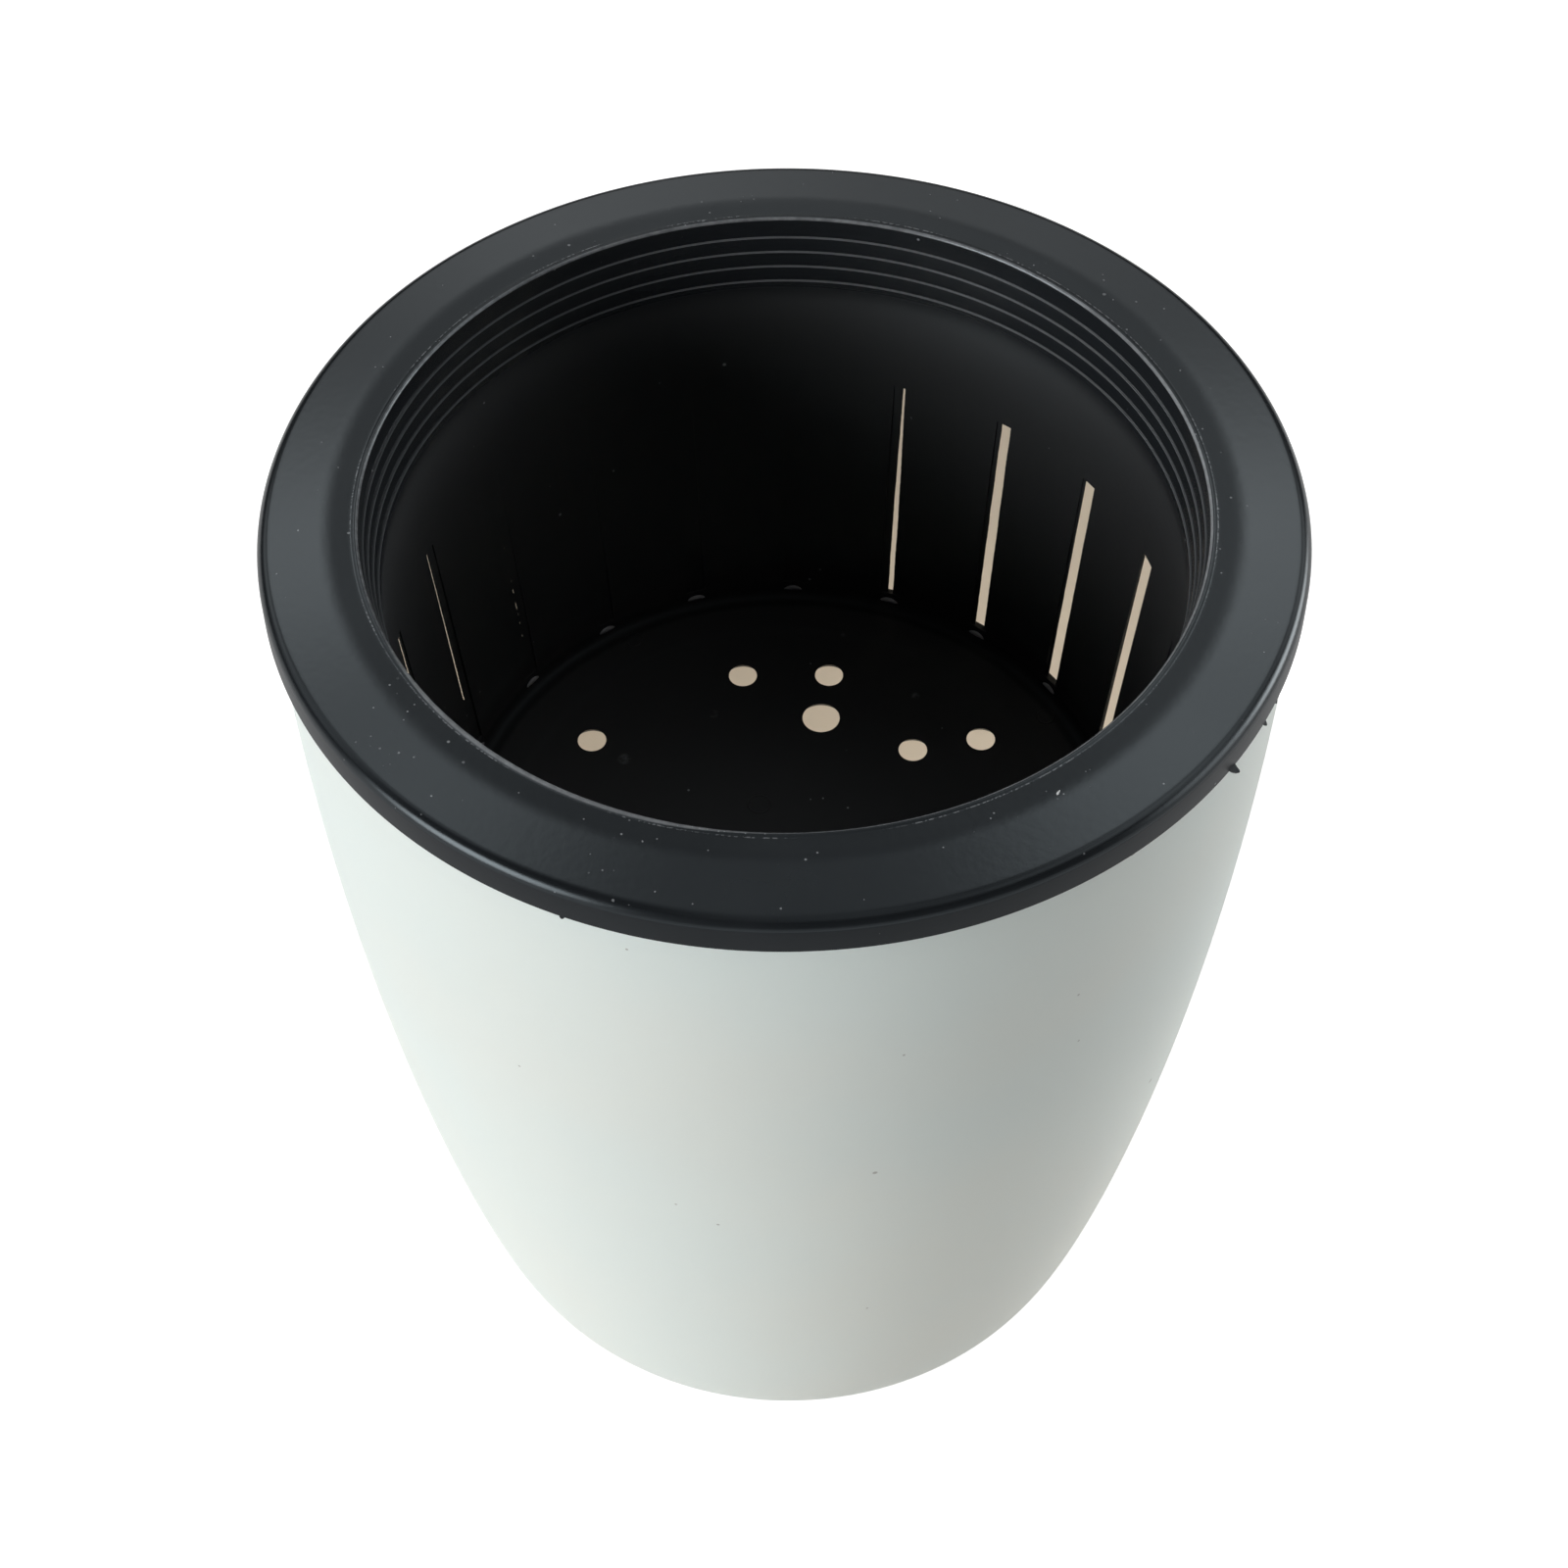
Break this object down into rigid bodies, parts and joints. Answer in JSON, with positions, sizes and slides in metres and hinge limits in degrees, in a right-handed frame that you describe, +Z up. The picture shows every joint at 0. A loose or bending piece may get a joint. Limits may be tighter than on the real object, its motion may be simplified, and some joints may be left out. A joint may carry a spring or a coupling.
{
  "type": "self-watering plant pot",
  "caption": "Round self-watering plant pot: a tapered white water pot with a black slotted inner basket that hangs by its rim and lifts out.",
  "frame": {"origin": "centre of the foot, on the surface that the pot stands on", "axes": "+Z up along the pot's axis, +Y towards the back of the reference view, +X to its right"},
  "size_m": [0.18, 0.18, 0.1969],
  "materials": {
    "white_plastic": "satin white moulded plastic, slightly translucent",
    "black_plastic": "satin black moulded plastic"
  },
  "bodies": {
    "water_pot": {"outer_pot": "white_plastic"},
    "basket": {"inner_basket": "black_plastic"}
  },
  "joints": [
    {"name": "basket_lift", "type": "slide", "parent": "water_pot", "child": "basket", "axis": [0, 0, 1], "range_m": [0, 0.12]}
  ]
}
